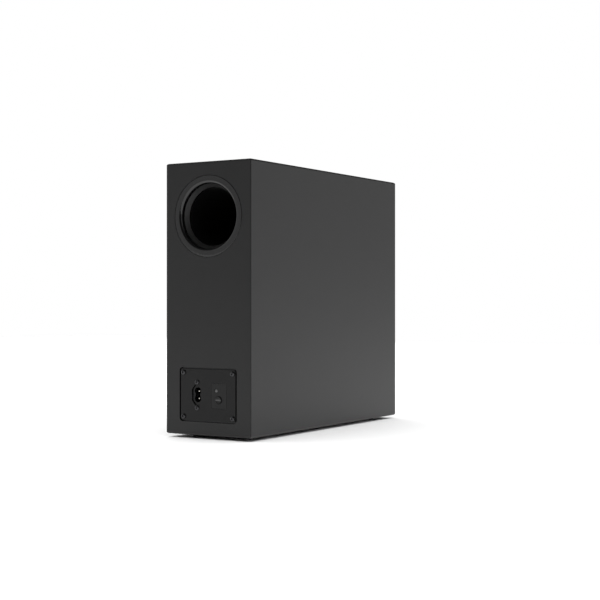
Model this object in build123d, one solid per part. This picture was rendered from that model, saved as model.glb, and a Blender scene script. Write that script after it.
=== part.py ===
from build123d import *
import os
from math import cos, pi, radians, sin, sqrt, tan

# A slim active subwoofer of a soundbar set. +Z is up, +Y is the rear, where the port and the amplifier plate are,
# -Y is the front, and +X is the side with the woofer. The origin is on the floor under the cabinet's middle.
# All sizes are in millimetres.

# ---- driving dimensions ----------------------------------------------------------------------------------------
cabinet_width = 120.0
cabinet_depth = 356.0
cabinet_height = 318.0
board = 12.0
upright_edge_radius = 1.0
level_edge_radius = 3.0
foot_height = 4.0
foot_radius = 9.0
foot_inset_x = 28.0
foot_inset_y = 30.0

port_bore_radius = 33.9
port_wall = 2.5
port_lead_in = 4.3
port_lead_in_start = 6.0
port_lead_in_end = 10.9
port_mouth_round = 3.4
port_flange_land = 5.6
port_flange = 3.0
port_from_top = 63.6
port_tube_length = 262.0
port_end_round = 7.0

woofer_y = -60.0
woofer_from_bottom = 126.0
woofer_frame_radius = 82.5
roll_width = 10.8
coil_radius = 19.3
magnet_radius = 45.0
magnet_height = 16.0
sub_baffle = 9.0
sub_baffle_margin = 12.5

plate_width = 77.2
plate_height = 59.6
plate = 2.0
plate_corner = 2.5
plate_gap = 1.9
plate_from_bottom = 47.3
plate_screw_inset_x = 3.9
plate_screw_inset_z = 4.1
gasket = 1.0
cutout_margin_x = 8.1
cutout_margin_z = 8.3

inlet_x = 15.2
inlet_from_plate_middle = -0.25
inlet_recess = 1.6
inlet_screw_pitch = 30.0
pin_pitch = 8.6
pin_radius = 1.2
lobe_radius = 4.5
socket_depth = 15.0

bezel_width = 21.0
bezel_height = 29.0
bezel_x = -15.5
bezel_from_plate_middle = -0.7
button_radius = 4.4
button_x = -15.0
button_from_plate_middle = -5.3
button_proud = 1.2
button_travel = 0.8
light_radius = 1.9
light_x = -11.9
light_from_plate_middle = 5.2

tray_length = 114.0
tray_room = 5.0
sheet = 1.2
circuit_board = 1.6
board_length = 96.0
standoff = 5.0

# ---- clearances ------------------------------------------------------------------------------------------------
glue_gap = 0.1
screw_gap = 0.05
hole_gap = 0.2
moving_gap = 0.3

# ---- places worked out from the sizes --------------------------------------------------------------------------
half_width = cabinet_width / 2
half_depth = cabinet_depth / 2
inner_x = half_width - board
inner_y = half_depth - board
cabinet_top = foot_height + cabinet_height
inner_floor = foot_height + board
inner_ceiling = cabinet_top - board
middle_z = foot_height + cabinet_height / 2
port_z = cabinet_top - port_from_top
plate_z = foot_height + plate_from_bottom
woofer_z = foot_height + woofer_from_bottom
plate_back = half_depth - plate
rebate_depth = plate + gasket
port_outer_radius = port_bore_radius + port_wall
collar_radius = port_bore_radius + port_lead_in
mouth_radius = collar_radius + port_mouth_round
port_flange_radius = mouth_radius + port_flange_land
plate_screw_pitch_x = plate_width - 2 * plate_screw_inset_x
plate_screw_pitch_z = plate_height - 2 * plate_screw_inset_z
cutout_width = plate_width - 2 * cutout_margin_x
cutout_height = plate_height - 2 * cutout_margin_z
tray_width = cutout_width - tray_room
board_width = tray_width - 4.0
sub_baffle_radius = woofer_frame_radius + sub_baffle_margin

os.makedirs("parts", exist_ok=True)


def save(name, *solids):
    """Writes one node's solids to its STEP file."""
    shape = solids[0] if len(solids) == 1 else Compound(children=list(solids))
    export_step(shape, f"parts/{name}.step")


def box(x_low, x_high, y_low, y_high, z_low, z_high):
    """A block between two corners."""
    middle = ((x_low + x_high) / 2, (y_low + y_high) / 2, (z_low + z_high) / 2)
    return Pos(*middle) * Box(x_high - x_low, y_high - y_low, z_high - z_low)


def along_y(x, z, radius, y_low, y_high):
    """A round bar or hole that runs front to back."""
    plane = Plane(origin=(x, y_low, z), x_dir=(1, 0, 0), z_dir=(0, 1, 0))
    return extrude(plane * Circle(radius), y_high - y_low)


def along_z(x, y, radius, z_low, z_high):
    """A round bar or hole that stands upright."""
    return extrude(Plane.XY.offset(z_low) * Pos(x, y) * Circle(radius), z_high - z_low)


def facing_rear(sketch, x, z, y_low, y_high):
    """Carries a sketch, drawn as seen with X to the right and Z up, from y_low to y_high."""
    plane = Plane(origin=(x, y_high, z), x_dir=(1, 0, 0), z_dir=(0, -1, 0))
    return extrude(plane * sketch, y_high - y_low)


def turned(points, place=None):
    """A ring or disc: a closed outline of (radius, height) points turned once about the axis."""
    outline = make_face(Polyline(*[(r, 0, h) for r, h in points], close=True))
    ring = revolve(outline, Axis.Z)
    return ring if place is None else place * ring


def cross_recess(place, head_radius, depth, slot=0.9):
    """The two crossed slots in a screw head whose top is at the place's origin, looking along its +Z."""
    reach = 1.2 * head_radius
    slots = Box(reach, slot, 2 * depth) + Box(slot, reach, 2 * depth)
    return place * slots


def pan_screw(place, head_radius, head_height, shank_radius, length):
    """A pan-head cross-recess screw. The place's origin is under the head and its +Z points out of the head."""
    crown = 0.35 * head_height
    head = turned(
        [
            (0, 0),
            (head_radius, 0),
            (head_radius, head_height - crown),
            (head_radius - crown, head_height),
            (0, head_height),
        ]
    )
    shank = Pos(0, 0, -length / 2) * Cylinder(shank_radius, length)
    recess = cross_recess(Pos(0, 0, head_height), head_radius, 0.6 * head_height)
    return place * (head + shank - recess)


def facing_out(x, y, z):
    """The place of a screw whose head faces the rear."""
    return Location(Plane(origin=(x, y, z), x_dir=(-1, 0, 0), z_dir=(0, 1, 0)))


# ---- cabinet ---------------------------------------------------------------------------------------------------
# Six boards, mitred all round and wrapped in vinyl. The upright edges are nearly sharp and the level edges of the
# top and the bottom are rounded, so the block is the common part of two rounded bars.
side_profile = RectangleRounded(cabinet_width, cabinet_height, level_edge_radius)
long_profile = RectangleRounded(cabinet_depth, cabinet_height, level_edge_radius)
plan_profile = RectangleRounded(cabinet_width, cabinet_depth, upright_edge_radius)
lengthwise = facing_rear(side_profile, 0, middle_z, -half_depth, half_depth)
across_plane = Plane(origin=(-half_width, 0, middle_z), x_dir=(0, 1, 0), z_dir=(1, 0, 0))
across = extrude(across_plane * long_profile, cabinet_width)
upright = extrude(Plane.XY.offset(foot_height) * plan_profile, cabinet_height)
cabinet_block = lengthwise & across & upright


def mitred_board(origin, x_dir, inward, width, height):
    """One board of the cabinet: a slab that narrows at 45 degrees on all four edges towards the inside."""
    plane = Plane(origin=origin, x_dir=x_dir, z_dir=inward)
    return extrude(plane * Rectangle(width, height), board, taper=45) & cabinet_block


front_panel = mitred_board((0, -half_depth, middle_z), (1, 0, 0), (0, 1, 0), cabinet_width, cabinet_height)
rear_panel = mitred_board((0, half_depth, middle_z), (1, 0, 0), (0, -1, 0), cabinet_width, cabinet_height)
plain_side_panel = mitred_board((-half_width, 0, middle_z), (0, 1, 0), (1, 0, 0), cabinet_depth, cabinet_height)
woofer_side_panel = mitred_board((half_width, 0, middle_z), (0, 1, 0), (-1, 0, 0), cabinet_depth, cabinet_height)
top_panel = mitred_board((0, 0, cabinet_top), (1, 0, 0), (0, 0, -1), cabinet_width, cabinet_depth)
bottom_panel = mitred_board((0, 0, foot_height), (1, 0, 0), (0, 0, 1), cabinet_width, cabinet_depth)

save("front_panel", front_panel)
save("plain_side_panel", plain_side_panel)
save("top_panel", top_panel)

# ---- feet ------------------------------------------------------------------------------------------------------
# Four rubber discs, each held by a countersunk screw that goes up into the bottom board.
foot_places = [
    (x_side * (half_width - foot_inset_x), y_side * (half_depth - foot_inset_y))
    for x_side in (-1, 1)
    for y_side in (-1, 1)
]
foot_screw_shank = 1.5
foot_screw_head = 3.3
foot_screw_head_height = 1.6
foot_screw_length = 10.0
foot_well_depth = 2.2
feet = []
foot_screws = []
for foot_x, foot_y in foot_places:
    foot = turned(
        [
            (foot_screw_shank + hole_gap, foot_well_depth),
            (foot_screw_head + hole_gap, foot_well_depth),
            (foot_screw_head + hole_gap, 0),
            (foot_radius - 0.8, 0),
            (foot_radius, 0.8),
            (foot_radius, foot_height),
            (foot_screw_shank + hole_gap, foot_height),
        ],
        Pos(foot_x, foot_y, 0),
    )
    feet.append(foot)
    head_under = Location(Plane(origin=(foot_x, foot_y, foot_well_depth), x_dir=(1, 0, 0), z_dir=(0, 0, -1)))
    foot_screws.append(
        pan_screw(head_under, foot_screw_head, foot_screw_head_height, foot_screw_shank, foot_screw_length)
    )
    pilot_top = foot_well_depth + foot_screw_length
    bottom_panel -= along_z(foot_x, foot_y, foot_screw_shank + screw_gap, foot_height - 1, pilot_top)
save("rubber_feet", *feet)
save("foot_screws", *foot_screws)
save("bottom_panel", bottom_panel)

# ---- reflex port -----------------------------------------------------------------------------------------------
# A long tube in two mouldings that slip over its ends. The rear one sits flush in a step in the rear board. Its rim
# is rounded, and inside the rim a cone leads in to the bore. The front one is a rounded mouth.
sleeve_bore = port_outer_radius + glue_gap
sleeve_radius = sleeve_bore + port_wall
sleeve_length = 18.0
flare_shoulder = 2.0
collar_outer = collar_radius + port_wall
flare_hole_gap = 2.0
flare_hole_radius = collar_outer + flare_hole_gap
tube_rear_depth = port_lead_in_end + flare_shoulder
tube_rear = half_depth - tube_rear_depth
tube_front = tube_rear - port_tube_length


def mouth_arc(bore, round_radius):
    """The quarter round of a mouth, from the face, at height 0, in to the bore at height -round_radius."""
    start = (bore + round_radius, 0)
    middle = (bore + round_radius * (1 - sin(pi / 4)), -round_radius * (1 - cos(pi / 4)))
    end = (bore, -round_radius)
    return ThreePointArc(*[(r, 0, h) for r, h in (start, middle, end)])


outer_flare_back = [
    (collar_radius, -port_mouth_round),
    (collar_radius, -port_lead_in_start),
    (port_bore_radius, -port_lead_in_end),
    (port_bore_radius, -tube_rear_depth),
    (sleeve_bore, -tube_rear_depth),
    (sleeve_bore, -tube_rear_depth - sleeve_length),
    (sleeve_radius, -tube_rear_depth - sleeve_length),
    (sleeve_radius, -port_lead_in_end),
    (collar_outer, -port_lead_in_start),
    (collar_outer, -port_flange),
    (port_flange_radius, -port_flange),
    (port_flange_radius, 0),
    (mouth_radius, 0),
]
outer_flare_outline = Polyline(*[(r, 0, h) for r, h in outer_flare_back])
outer_flare_face = make_face([mouth_arc(collar_radius, port_mouth_round), outer_flare_outline])
rear_place = Location(Plane(origin=(0, half_depth, port_z), x_dir=(1, 0, 0), z_dir=(0, 1, 0)))
save("port_flare", rear_place * revolve(outer_flare_face, Axis.Z))

port_tube = along_y(0, port_z, port_outer_radius, tube_front, tube_rear)
port_tube -= along_y(0, port_z, port_bore_radius, tube_front - 1, tube_rear + 1)
save("port_tube", port_tube)

end_mouth = port_bore_radius + port_end_round
inner_flare_back = [
    (port_bore_radius, -port_end_round),
    (port_bore_radius, -port_end_round - flare_shoulder),
    (sleeve_bore, -port_end_round - flare_shoulder),
    (sleeve_bore, -port_end_round - flare_shoulder - sleeve_length),
    (sleeve_radius, -port_end_round - flare_shoulder - sleeve_length),
    (sleeve_radius, -port_wall),
    (end_mouth, -port_wall),
    (end_mouth, 0),
]
inner_flare_outline = Polyline(*[(r, 0, h) for r, h in inner_flare_back])
inner_flare_face = make_face([mouth_arc(port_bore_radius, port_end_round), inner_flare_outline])
inner_flare_end = tube_front - flare_shoulder - port_end_round
front_place = Location(Plane(origin=(0, inner_flare_end, port_z), x_dir=(1, 0, 0), z_dir=(0, -1, 0)))
save("port_inner_flare", front_place * revolve(inner_flare_face, Axis.Z))

# ---- rear board: port hole, rebate for the plate, hole for the amplifier ----------------------------------------
step_gap = 0.5
pilot_length = 9.0
plate_screw_shank = 1.4
rear_panel -= along_y(0, port_z, flare_hole_radius, inner_y - 1, half_depth + 1)
rear_panel -= along_y(0, port_z, port_flange_radius + step_gap, half_depth - port_flange, half_depth + 1)
rebate = RectangleRounded(plate_width + 2 * plate_gap, plate_height + 2 * plate_gap, plate_corner + plate_gap)
rear_panel -= facing_rear(rebate, 0, plate_z, half_depth - rebate_depth, half_depth + 1)
cutout = RectangleRounded(cutout_width, cutout_height, plate_corner)
rear_panel -= facing_rear(cutout, 0, plate_z, inner_y - 1, half_depth + 1)
plate_screw_places = [
    (x_side * plate_screw_pitch_x / 2, plate_z + z_side * plate_screw_pitch_z / 2)
    for x_side in (-1, 1)
    for z_side in (-1, 1)
]
for screw_x, screw_z in plate_screw_places:
    rebate_floor = half_depth - rebate_depth
    pilot_end = rebate_floor - pilot_length + 1
    rear_panel -= along_y(screw_x, screw_z, plate_screw_shank + screw_gap, pilot_end, rebate_floor + 1)
save("rear_panel", rear_panel)

# ---- inner brace -----------------------------------------------------------------------------------------------
# A cross board between the woofer's room and the amplifier's. The port tube passes through it, and a window lets
# air and wires past.
brace_front = woofer_y + sub_baffle_radius + 5
brace_window_width = 68.0
brace_window_low = inner_floor + 18
brace_window_high = port_z - port_outer_radius - 21
brace_window_corner = 12.0
inner_brace = box(-inner_x, inner_x, brace_front, brace_front + board, inner_floor, inner_ceiling)
inner_brace -= along_y(0, port_z, port_outer_radius + glue_gap, brace_front - 1, brace_front + board + 1)
window_height = brace_window_high - brace_window_low
window_shape = RectangleRounded(brace_window_width, window_height, brace_window_corner)
window_z = (brace_window_low + brace_window_high) / 2
inner_brace -= facing_rear(window_shape, 0, window_z, brace_front - 1, brace_front + board + 1)
save("inner_brace", inner_brace)

# ---- damping wadding -------------------------------------------------------------------------------------------
# A polyester mat glued inside the plain side, below the port tube.
wadding = 15.0
wadding_margin = 9.0
mat = box(
    -inner_x,
    -inner_x + wadding,
    -inner_y + wadding_margin,
    brace_front - wadding_margin,
    inner_floor + wadding_margin,
    port_z - port_outer_radius - wadding_margin,
)
save("damping_wadding", mat)

# ---- woofer ----------------------------------------------------------------------------------------------------
# Outlines are (radius, height) pairs. Height is 0 on the sub-baffle's front and grows outwards, along +X.
woofer_place = Location(Plane(origin=(inner_x, woofer_y, woofer_z), x_dir=(0, 1, 0), z_dir=(1, 0, 0)))
baffle_bore = woofer_frame_radius - 9.5
opening_gap = 1.5
opening_round = 4.0
opening_radius = woofer_frame_radius + opening_gap

hole_through = woofer_place * Pos(0, 0, board / 2) * Cylinder(opening_radius, board + 2)
rounded_rim = turned(
    [
        (opening_radius - 1, board - opening_round),
        (opening_radius, board - opening_round),
        (opening_radius + opening_round, board),
        (opening_radius + opening_round, board + 1),
        (opening_radius - 1, board + 1),
    ],
    woofer_place,
)
save("woofer_side_panel", woofer_side_panel - hole_through - rounded_rim)

frame_sheet = 1.5
foam = 1.0
flange_top = foam + frame_sheet
screw_circle = woofer_frame_radius - 4.0
screw_count = 8
woofer_screw_head = 3.6
woofer_screw_shank = 1.9
woofer_screw_length = 10.0
frame_throat = woofer_frame_radius - 13.5
frame_floor_radius = magnet_radius - 0.5
frame_depth = 35.0
coil_window = coil_radius + 2.7

wall_slope = (frame_throat - frame_floor_radius) / (frame_depth + flange_top)
wall_offset = frame_sheet * sqrt(1 + wall_slope**2)


def wall_radius(height):
    """The inner radius of the basket's sloping wall at a height."""
    return frame_floor_radius + wall_slope * (height + frame_depth)


def outer_wall_radius(height):
    return wall_radius(height) + wall_offset


screw_angles = [360 / screw_count * (n + 0.5) for n in range(screw_count)]
screw_spots = [(screw_circle * cos(radians(a)), screw_circle * sin(radians(a))) for a in screw_angles]

baffle_ring = turned(
    [(baffle_bore, -sub_baffle), (sub_baffle_radius, -sub_baffle), (sub_baffle_radius, 0), (baffle_bore, 0)]
)
foam_ring = turned([(baffle_bore, 0), (woofer_frame_radius, 0), (woofer_frame_radius, foam), (baffle_bore, foam)])
basket = turned(
    [
        (woofer_frame_radius, flange_top),
        (frame_throat, flange_top),
        (frame_floor_radius, -frame_depth),
        (coil_window, -frame_depth),
        (coil_window, -frame_depth - frame_sheet),
        (outer_wall_radius(-frame_depth - frame_sheet), -frame_depth - frame_sheet),
        (outer_wall_radius(foam), foam),
        (woofer_frame_radius, foam),
    ]
)
spider_height = -28.0
ledge_width = 5.0
ledge = 1.2
ledge_top = spider_height - 0.4
basket += turned(
    [
        (wall_radius(ledge_top) - ledge_width, ledge_top),
        (wall_radius(ledge_top) + 0.4, ledge_top),
        (wall_radius(ledge_top - ledge) + 0.4, ledge_top - ledge),
        (wall_radius(ledge_top) - ledge_width, ledge_top - ledge),
    ]
)
window_count = 6
window_width = 30.0
window_low = -31.5
window_high = -8.0
for n in range(window_count):
    window = Pos(60, 0, (window_low + window_high) / 2) * Box(36, window_width, window_high - window_low)
    low_ledge = Pos(44, 0, ledge_top - ledge / 2) * Box(12, window_width + 2, ledge)
    basket -= Rot(0, 0, n * 360 / window_count) * (window - low_ledge)
for spot_x, spot_y in screw_spots:
    shank_room = woofer_screw_shank + hole_gap
    basket -= Pos(spot_x, spot_y, flange_top) * Cylinder(shank_room, 4 * frame_sheet)
    foam_ring -= Pos(spot_x, spot_y, foam) * Cylinder(shank_room, 4 * foam)
    baffle_ring -= Pos(spot_x, spot_y, -sub_baffle / 2) * Cylinder(woofer_screw_shank + screw_gap, sub_baffle + 2)
save("woofer_sub_baffle", woofer_place * baffle_ring)
save("woofer_gasket", woofer_place * foam_ring)
save("woofer_basket", woofer_place * basket)
woofer_screws = [
    woofer_place * pan_screw(Pos(x, y, flange_top), woofer_screw_head, 2.2, woofer_screw_shank, woofer_screw_length)
    for x, y in screw_spots
]
save("woofer_screws", *woofer_screws)

# The surround is a half roll of rubber between the cone's rim and the frame. A trim ring covers its outer lip.
rubber = 1.0
roll_outer = frame_throat + 0.6
roll_inner = roll_outer - roll_width
cone_radius = roll_inner - moving_gap
roll_middle = (roll_inner + roll_outer) / 2
roll_radius = (roll_outer - roll_inner) / 2
lip_outer = screw_circle - 5.0
trim_height = 2.6


def half_roll(radius, backwards):
    """The arc over the top of the roll, in the outline's plane."""
    ends = [(roll_middle - radius, flange_top), (roll_middle, flange_top + radius), (roll_middle + radius, flange_top)]
    if backwards:
        ends.reverse()
    return ThreePointArc(*[(r, 0, h) for r, h in ends])


def lip_line(*points):
    return Polyline(*[(r, 0, h) for r, h in points])


roll_top_in = roll_middle - roll_radius
roll_top_out = roll_middle + roll_radius
surround_outline = [
    half_roll(roll_radius, False),
    lip_line((roll_top_out, flange_top), (roll_top_out - rubber, flange_top)),
    half_roll(roll_radius - rubber, True),
    lip_line((roll_top_in + rubber, flange_top), (roll_top_in, flange_top)),
]
lip = turned(
    [
        (roll_top_out - rubber / 2, flange_top),
        (lip_outer, flange_top),
        (lip_outer, flange_top + rubber),
        (roll_top_out - rubber / 2, flange_top + rubber),
    ]
)
surround = revolve(make_face(surround_outline), Axis.Z) + lip
save("woofer_surround", woofer_place * surround)

trim_ring = turned(
    [
        (roll_top_out + 0.8, flange_top + rubber),
        (lip_outer, flange_top + rubber),
        (lip_outer, flange_top + rubber + trim_height - 0.8),
        (lip_outer - 0.8, flange_top + rubber + trim_height),
        (roll_top_out + 1.4, flange_top + rubber + trim_height),
    ]
)
save("woofer_trim_ring", woofer_place * trim_ring)

# The moving assembly: paper cone, dust cap, coil former and winding.
paper = 1.0
former_wall = 0.25
winding_wall = 0.6
winding_length = 14.0
rim_width = 4.0
neck_height = -21.0
dust_cap_radius = 24.0
dust_cap_rise = 8.0
pole_plate = 6.0
gap_middle = -frame_depth - frame_sheet - pole_plate / 2
former_outer = coil_radius + former_wall
neck_radius = former_outer + hole_gap
rim_inner = cone_radius - rim_width
cone_slope = (flange_top + paper - neck_height) / (rim_inner - neck_radius)
paper_upright = paper * sqrt(1 + cone_slope**2)
cone = turned(
    [
        (neck_radius, neck_height),
        (rim_inner, flange_top + paper),
        (cone_radius, flange_top + paper),
        (cone_radius, flange_top),
        (rim_inner + 0.5, flange_top),
        (neck_radius, neck_height - paper_upright),
    ],
    woofer_place,
)
save("woofer_cone", cone)

cap_seat = neck_height + cone_slope * (dust_cap_radius - neck_radius) + 0.4
cap = 0.8


def cap_arc(radius, low, high, backwards):
    """The dome of the dust cap, from its rim to the axis."""
    ball = (radius**2 + (high - low) ** 2) / (2 * (high - low))
    part_way = 0.5 * radius
    points = [(radius, low), (part_way, high - ball + sqrt(ball**2 - part_way**2)), (0, high)]
    if backwards:
        points.reverse()
    return ThreePointArc(*[(r, 0, h) for r, h in points])


cap_outline = [
    cap_arc(dust_cap_radius, cap_seat, cap_seat + dust_cap_rise, False),
    lip_line((0, cap_seat + dust_cap_rise), (0, cap_seat + dust_cap_rise - cap)),
    cap_arc(dust_cap_radius - cap, cap_seat, cap_seat + dust_cap_rise - cap, True),
    lip_line((dust_cap_radius - cap, cap_seat), (dust_cap_radius, cap_seat)),
]
save("dust_cap", woofer_place * revolve(make_face(cap_outline), Axis.Z))

former_top = neck_height + 0.5
former_bottom = gap_middle - winding_length / 2 - 3.0
former = turned(
    [
        (coil_radius, former_bottom),
        (former_outer, former_bottom),
        (former_outer, former_top),
        (coil_radius, former_top),
    ],
    woofer_place,
)
save("voice_coil_former", former)
winding_low = gap_middle - winding_length / 2
winding_high = gap_middle + winding_length / 2
winding = turned(
    [
        (former_outer, winding_low),
        (former_outer + winding_wall, winding_low),
        (former_outer + winding_wall, winding_high),
        (former_outer, winding_high),
    ],
    woofer_place,
)
save("voice_coil_winding", winding)

# The spider is a corrugated cloth disc that centres the coil.
wave_count = 5
wave_height = 1.2
cloth = 0.6
spider_inner = former_outer + moving_gap
spider_outer = wall_radius(ledge_top) - 0.6
wave_points = [
    (
        spider_inner + (spider_outer - spider_inner) * n / (2 * wave_count),
        spider_height + wave_height * (n % 2),
    )
    for n in range(2 * wave_count + 1)
]
spider = turned(wave_points + [(r, h + cloth) for r, h in reversed(wave_points)], woofer_place)
save("spider", spider)

# The motor: top plate, ring magnet, yoke with its pole, and a shielding can over them.
plate_radius = magnet_radius - 5.0
pole_gap = 0.5
gap_pole_radius = coil_radius - pole_gap
gap_outer = former_outer + winding_wall + pole_gap
magnet_bore = coil_radius + 4.7
vent_radius = 5.0
motor_top = -frame_depth - frame_sheet
magnet_top = motor_top - pole_plate
magnet_bottom = magnet_top - magnet_height
yoke_bottom = magnet_bottom - pole_plate
top_plate_ring = [
    (gap_outer, magnet_top),
    (plate_radius, magnet_top),
    (plate_radius, motor_top),
    (gap_outer, motor_top),
]
save("top_plate", turned(top_plate_ring, woofer_place))
magnet_ring = [
    (magnet_bore, magnet_bottom),
    (magnet_radius, magnet_bottom),
    (magnet_radius, magnet_top),
    (magnet_bore, magnet_top),
]
save("magnet", turned(magnet_ring, woofer_place))
yoke_outline = [
    (vent_radius, yoke_bottom),
    (plate_radius, yoke_bottom),
    (plate_radius, magnet_bottom),
    (gap_pole_radius, magnet_bottom),
    (gap_pole_radius, motor_top),
    (vent_radius, motor_top),
]
save("yoke", turned(yoke_outline, woofer_place))
can_gap = 1.0
can_bore = magnet_radius + can_gap
can_outline = [
    (vent_radius, yoke_bottom - sheet),
    (can_bore + sheet, yoke_bottom - sheet),
    (can_bore + sheet, magnet_top + 2.5),
    (can_bore, magnet_top + 2.5),
    (can_bore, yoke_bottom),
    (vent_radius, yoke_bottom),
]
save("magnet_cover", turned(can_outline, woofer_place))

# The terminal strip stands on the basket's shoulder on the amplifier's side. Two tinsel leads go to the cone.
strip = 1.6
strip_width = 20.0
strip_low = motor_top
strip_high = -24.0
strip_radius = outer_wall_radius(window_low) + 1.5
lug_width = 3.0
lug_length = 4.0
lug = 0.8
lug_height = -30.6
lug_offset = 5.0
strip_board = Pos(strip_radius + strip / 2, 0, (strip_low + strip_high) / 2) * Box(
    strip, strip_width, strip_high - strip_low
)
rivet_below_window = 1.5
rivet_width = 8.0
rivet_height = 2.0
rivet_start = outer_wall_radius(window_low - rivet_below_window) + glue_gap * sqrt(1 + wall_slope**2)
rivet_place = Pos((rivet_start + strip_radius) / 2, 0, window_low - rivet_below_window - rivet_height / 2)
terminal_strip = strip_board + rivet_place * Box(strip_radius - rivet_start, rivet_width, rivet_height)
for side in (-1, 1):
    lug_x = strip_radius + strip + lug_length / 2 - 0.2
    terminal_strip += Pos(lug_x, side * lug_offset, lug_height) * Box(lug_length, lug_width, lug)
save("terminal_strip", woofer_place * terminal_strip)


def wire(points, diameter):
    """A wire of straight runs joined by tangent arcs, each as large as its two runs allow."""
    corners = [Vector(*p) for p in points]
    runs = [b - a for a, b in zip(corners, corners[1:])]
    bends = []
    for before, after in zip(runs, runs[1:]):
        half_turn = radians(before.get_angle(after)) / 2
        bends.append(0.45 * min(before.length, after.length) / tan(half_turn))
    route = FilletPolyline(*corners, radius=bends)
    section = Plane(origin=route @ 0, z_dir=route % 0) * Circle(diameter / 2)
    body = sweep(section, path=route)
    share = body.volume / (pi * diameter**2 / 4 * route.length)
    print("wire", diameter, "length", round(route.length, 1), "radii", [round(b, 1) for b in bends])
    print("  volume over section times length", round(share, 4))
    return body


tinsel = 1.0
tinsel_start = 36.0
tinsel_end = strip_radius + strip / 2
tinsel_start_height = neck_height - paper_upright + cone_slope * (tinsel_start - neck_radius) - 0.9
tinsel_leads = []
for side in (-1, 1):
    lead_y = side * lug_offset
    lead = wire(
        [
            (tinsel_start, lead_y, tinsel_start_height),
            (tinsel_start + 3.0, lead_y * 1.1, tinsel_start_height - 5.0),
            (tinsel_end - 5.4, lead_y * 1.2, tinsel_start_height - 5.5),
            (tinsel_end, lead_y, strip_high + 4.5),
            (tinsel_end, lead_y, strip_high),
        ],
        tinsel,
    )
    tinsel_leads.append(woofer_place * lead)
save("tinsel_leads", *tinsel_leads)

# ---- amplifier plate -------------------------------------------------------------------------------------------
# A flat moulded plate, flush in the rear board's rebate, on a foam gasket and held by four screws.
inlet_z = plate_z + inlet_from_plate_middle
bezel_z = plate_z + bezel_from_plate_middle
button_z = plate_z + button_from_plate_middle
light_z = plate_z + light_from_plate_middle
plate_outline = RectangleRounded(plate_width, plate_height, plate_corner)
boss_half_width = 7.0
boss_half_height = 11.6
boss_flat_half = 6.2
boss_end_half = 2.6
boss_round = 2.4
boss_gap = 0.45


def boss_outline(grow):
    """The front of the mains inlet, with eight corners: upright sides, and ends that narrow towards the screws."""
    quarter = [
        (boss_half_width + grow, boss_flat_half + 0.4 * grow),
        (boss_end_half + grow, boss_half_height + grow),
    ]
    upper = quarter + [(-x, z) for x, z in reversed(quarter)]
    outline = make_face(Polyline(*upper, *[(-x, -z) for x, z in upper], close=True))
    return fillet(outline.vertices(), boss_round)


inlet_screw_shank = 1.5
inlet_screw_places = [(inlet_x, inlet_z + side * inlet_screw_pitch / 2) for side in (-1, 1)]
bezel_corner = 2.0
amp_plate = facing_rear(plate_outline, 0, plate_z, plate_back, half_depth)
amp_plate -= facing_rear(boss_outline(boss_gap), inlet_x, inlet_z, plate_back - 1, half_depth + 1)
bezel_hole = RectangleRounded(bezel_width + 2 * hole_gap, bezel_height + 2 * hole_gap, bezel_corner + hole_gap)
amp_plate -= facing_rear(bezel_hole, bezel_x, bezel_z, plate_back - 1, half_depth + 1)
for screw_x, screw_z in plate_screw_places:
    amp_plate -= along_y(screw_x, screw_z, plate_screw_shank + hole_gap, plate_back - 1, half_depth + 1)
for screw_x, screw_z in inlet_screw_places:
    amp_plate -= along_y(screw_x, screw_z, inlet_screw_shank + hole_gap, plate_back - 1, half_depth + 1)
stake_x = 1.4
stake_z = plate_z - 9.0
stake_radius = 1.5
stake_length = sheet + 1.0
amp_plate += along_y(stake_x, stake_z, stake_radius, plate_back - stake_length, plate_back)
save("amp_plate", amp_plate)

plate_gasket = facing_rear(plate_outline, 0, plate_z, plate_back - gasket, plate_back)
plate_gasket -= facing_rear(cutout, 0, plate_z, plate_back - gasket - 1, plate_back + 1)
for screw_x, screw_z in plate_screw_places:
    plate_gasket -= along_y(screw_x, screw_z, plate_screw_shank + hole_gap, plate_back - 3, plate_back + 1)
save("plate_gasket", plate_gasket)

plate_screw_head = 2.85
plate_screw_head_height = 1.7
plate_screw_length = rebate_depth + pilot_length - 2.0
plate_screws = [
    pan_screw(
        facing_out(screw_x, half_depth, screw_z),
        plate_screw_head,
        plate_screw_head_height,
        plate_screw_shank,
        plate_screw_length,
    )
    for screw_x, screw_z in plate_screw_places
]
save("plate_screws", *plate_screws)

# ---- mains inlet -----------------------------------------------------------------------------------------------
# A two-pin figure-eight inlet, put in from behind and held by two screws with nuts. Its front is a little sunk.
flange_width = 18.0
flange_height = 38.0
inlet_flange = 2.5
flange_corner = 4.0
body_width = 16.0
body_height = 23.0
body_depth = 18.5
waist = 6.6
socket_floor = half_depth - socket_depth
flange_back = plate_back - inlet_flange
inlet_back = plate_back - body_depth
mains_inlet = facing_rear(boss_outline(0), inlet_x, inlet_z, plate_back - 1, half_depth - inlet_recess)
flange_shape = RectangleRounded(flange_width, flange_height, flange_corner)
mains_inlet += facing_rear(flange_shape, inlet_x, inlet_z, flange_back, plate_back)
body_shape = RectangleRounded(body_width, body_height, 2.0)
mains_inlet += facing_rear(body_shape, inlet_x, inlet_z, inlet_back, plate_back - 1)
for side in (-1, 1):
    lobe_z = inlet_z + side * pin_pitch / 2
    mains_inlet -= along_y(inlet_x, lobe_z, lobe_radius, socket_floor, half_depth + 1)
    mains_inlet -= along_y(inlet_x, lobe_z, pin_radius + screw_gap, inlet_back - 1, half_depth + 1)
mains_inlet -= facing_rear(Rectangle(waist, pin_pitch), inlet_x, inlet_z, socket_floor, half_depth + 1)
for screw_x, screw_z in inlet_screw_places:
    mains_inlet -= along_y(screw_x, screw_z, inlet_screw_shank + hole_gap, flange_back - 1, half_depth + 1)
save("mains_inlet", mains_inlet)

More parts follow.
